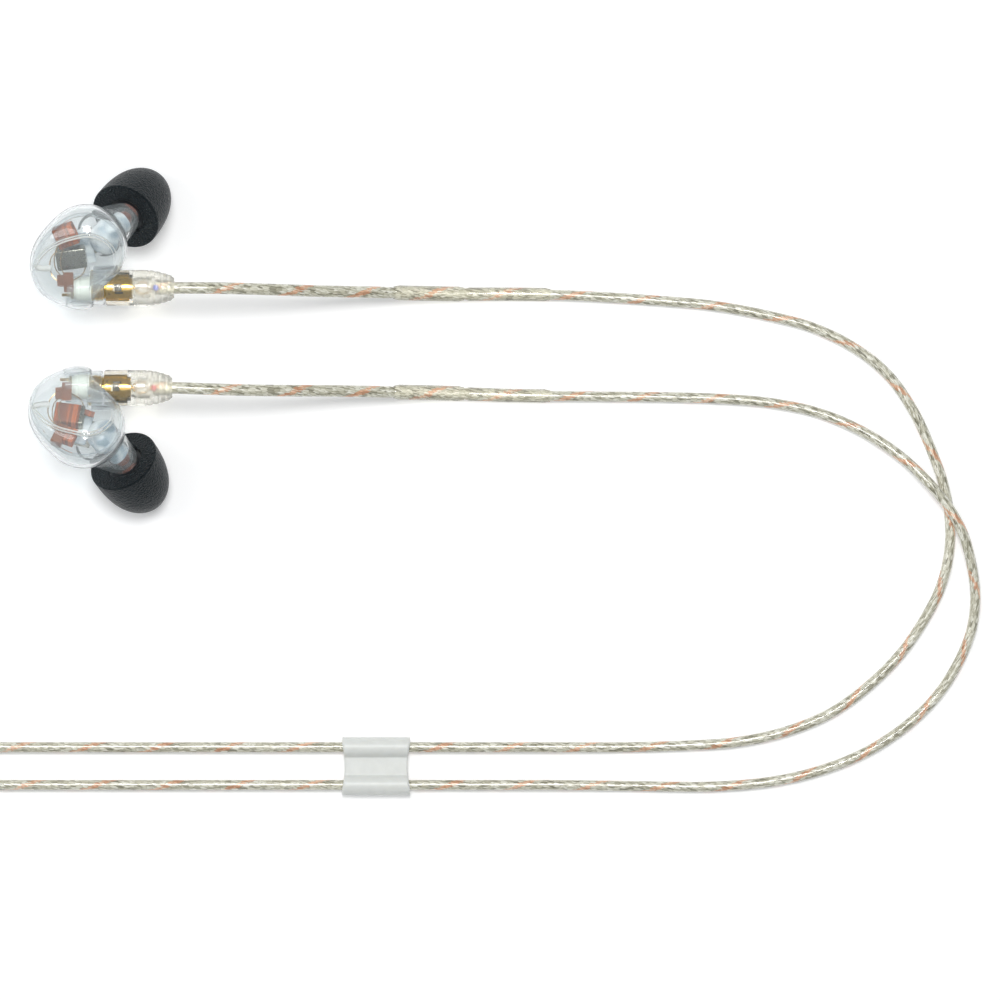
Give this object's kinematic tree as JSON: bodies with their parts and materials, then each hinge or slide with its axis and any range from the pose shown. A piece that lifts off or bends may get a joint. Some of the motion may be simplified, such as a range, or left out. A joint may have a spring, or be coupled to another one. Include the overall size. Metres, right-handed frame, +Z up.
{
  "type": "in-ear monitors",
  "caption": "Pair of clear in-ear monitors with angled foam tips on swivelling detachable plugs, a braided cable with cinch and Y-split, and a coiled tail ending in a stereo plug.",
  "frame": {"origin": "on the surface the pair lies on, midway between the two earphones", "axes": "+X from the earphones towards their cable, +Y from the right earphone to the left one, +Z up out of the surface"},
  "size_m": [0.2607, 0.1164, 0.0233],
  "materials": {
    "clear_shell": "polished clear moulding",
    "clear_housing": "clear overmould, satin",
    "clear_sleeve": "clear heat-shrunk sleeve",
    "steel_mesh": "fine woven mesh",
    "brown_damper": "tinted acoustic damper",
    "core_rubber": "gloss soft rubber",
    "foam": "slow-recovery foam with fine pores",
    "copper_tape": "amber polyimide tape over metal",
    "driver_can": "drawn can with taped end",
    "cradle": "translucent moulding",
    "flex_board": "copper flex circuit",
    "gold": "gold plated",
    "spring_bronze": "bronze spring",
    "white_insulator": "creamy white insulator",
    "marker_blue": "painted dot",
    "marker_red": "painted dot",
    "braided_cable": "silver and copper braid under a clear jacket",
    "milky_plastic": "milky translucent moulding",
    "strap": "woven strap",
    "black_moulding": "fine textured black moulding",
    "black_band": "insulating band"
  },
  "bodies": {
    "cable": {"left_plug_barrel": "gold", "left_plug_insulator": "white_insulator", "left_plug_pin": "gold", "left_plug_housing": "clear_housing", "left_side_marker": "marker_blue", "left_form_wire": "braided_cable", "left_wire_sleeve": "clear_sleeve", "left_lead_sleeve": "clear_sleeve", "left_lead": "braided_cable", "right_plug_barrel": "gold", "right_plug_insulator": "white_insulator", "right_plug_pin": "gold", "right_plug_housing": "clear_housing", "right_side_marker": "marker_red", "right_form_wire": "braided_cable", "right_wire_sleeve": "clear_sleeve", "right_lead_sleeve": "clear_sleeve", "right_lead": "braided_cable", "y_split": "milky_plastic", "main_cable": "braided_cable", "cable_coil": "braided_cable", "coil_tie": "strap", "tail_cable": "braided_cable", "jack_relief": "black_moulding", "jack_body": "black_moulding", "jack_sleeve": "gold", "jack_ring": "gold", "jack_tip": "gold", "jack_bands": "black_band"},
    "cinch": {"cinch": "milky_plastic"},
    "left_ring": {"left_snap_ring": "spring_bronze"},
    "left_tip": {"left_tip_core": "core_rubber", "left_tip_foam": "foam"},
    "left_earphone": {"left_front_cover": "clear_shell", "left_inner_shell": "clear_shell", "left_nozzle_screen": "steel_mesh", "left_damper": "brown_damper", "left_treble_driver": "copper_tape", "left_bass_driver_front": "driver_can", "left_bass_driver_rear": "driver_can", "left_driver_cradle": "cradle", "left_crossover_board": "flex_board", "left_socket_barrel": "gold", "left_socket_insulator": "white_insulator", "left_socket_contact": "gold"},
    "right_ring": {"right_snap_ring": "spring_bronze"},
    "right_tip": {"right_tip_core": "core_rubber", "right_tip_foam": "foam"},
    "right_earphone": {"right_front_cover": "clear_shell", "right_inner_shell": "clear_shell", "right_nozzle_screen": "steel_mesh", "right_damper": "brown_damper", "right_treble_driver": "copper_tape", "right_bass_driver_front": "driver_can", "right_bass_driver_rear": "driver_can", "right_driver_cradle": "cradle", "right_crossover_board": "flex_board", "right_socket_barrel": "gold", "right_socket_insulator": "white_insulator", "right_socket_contact": "gold"}
  },
  "joints": [
    {"name": "left_swivel", "type": "hinge", "parent": "cable", "child": "left_ring", "pos_m": [0.0008, 0.0092, 0.01459], "axis": [1, 0, 0], "range_deg": [-60, 80]},
    {"name": "left_unplug", "type": "slide", "parent": "left_ring", "child": "left_earphone", "axis": [-1, 0, 0], "range_m": [0, 0.009]},
    {"name": "left_tip_pull", "type": "slide", "parent": "left_earphone", "child": "left_tip", "axis": [0.3977, 0.5308, -0.7484], "range_m": [0, 0.008]},
    {"name": "right_swivel", "type": "hinge", "parent": "cable", "child": "right_ring", "pos_m": [0.0004, -0.0092, 0.01304], "axis": [-1, 0, 0], "range_deg": [-60, 80]},
    {"name": "right_unplug", "type": "slide", "parent": "right_ring", "child": "right_earphone", "axis": [-1, 0, 0], "range_m": [0, 0.009]},
    {"name": "right_tip_pull", "type": "slide", "parent": "right_earphone", "child": "right_tip", "axis": [0.3977, -0.594, -0.6993], "range_m": [0, 0.008]},
    {"name": "cinch_slide", "type": "slide", "parent": "cable", "child": "cinch", "axis": [1, 0, 0], "range_m": [-0.06, 0.025]}
  ]
}
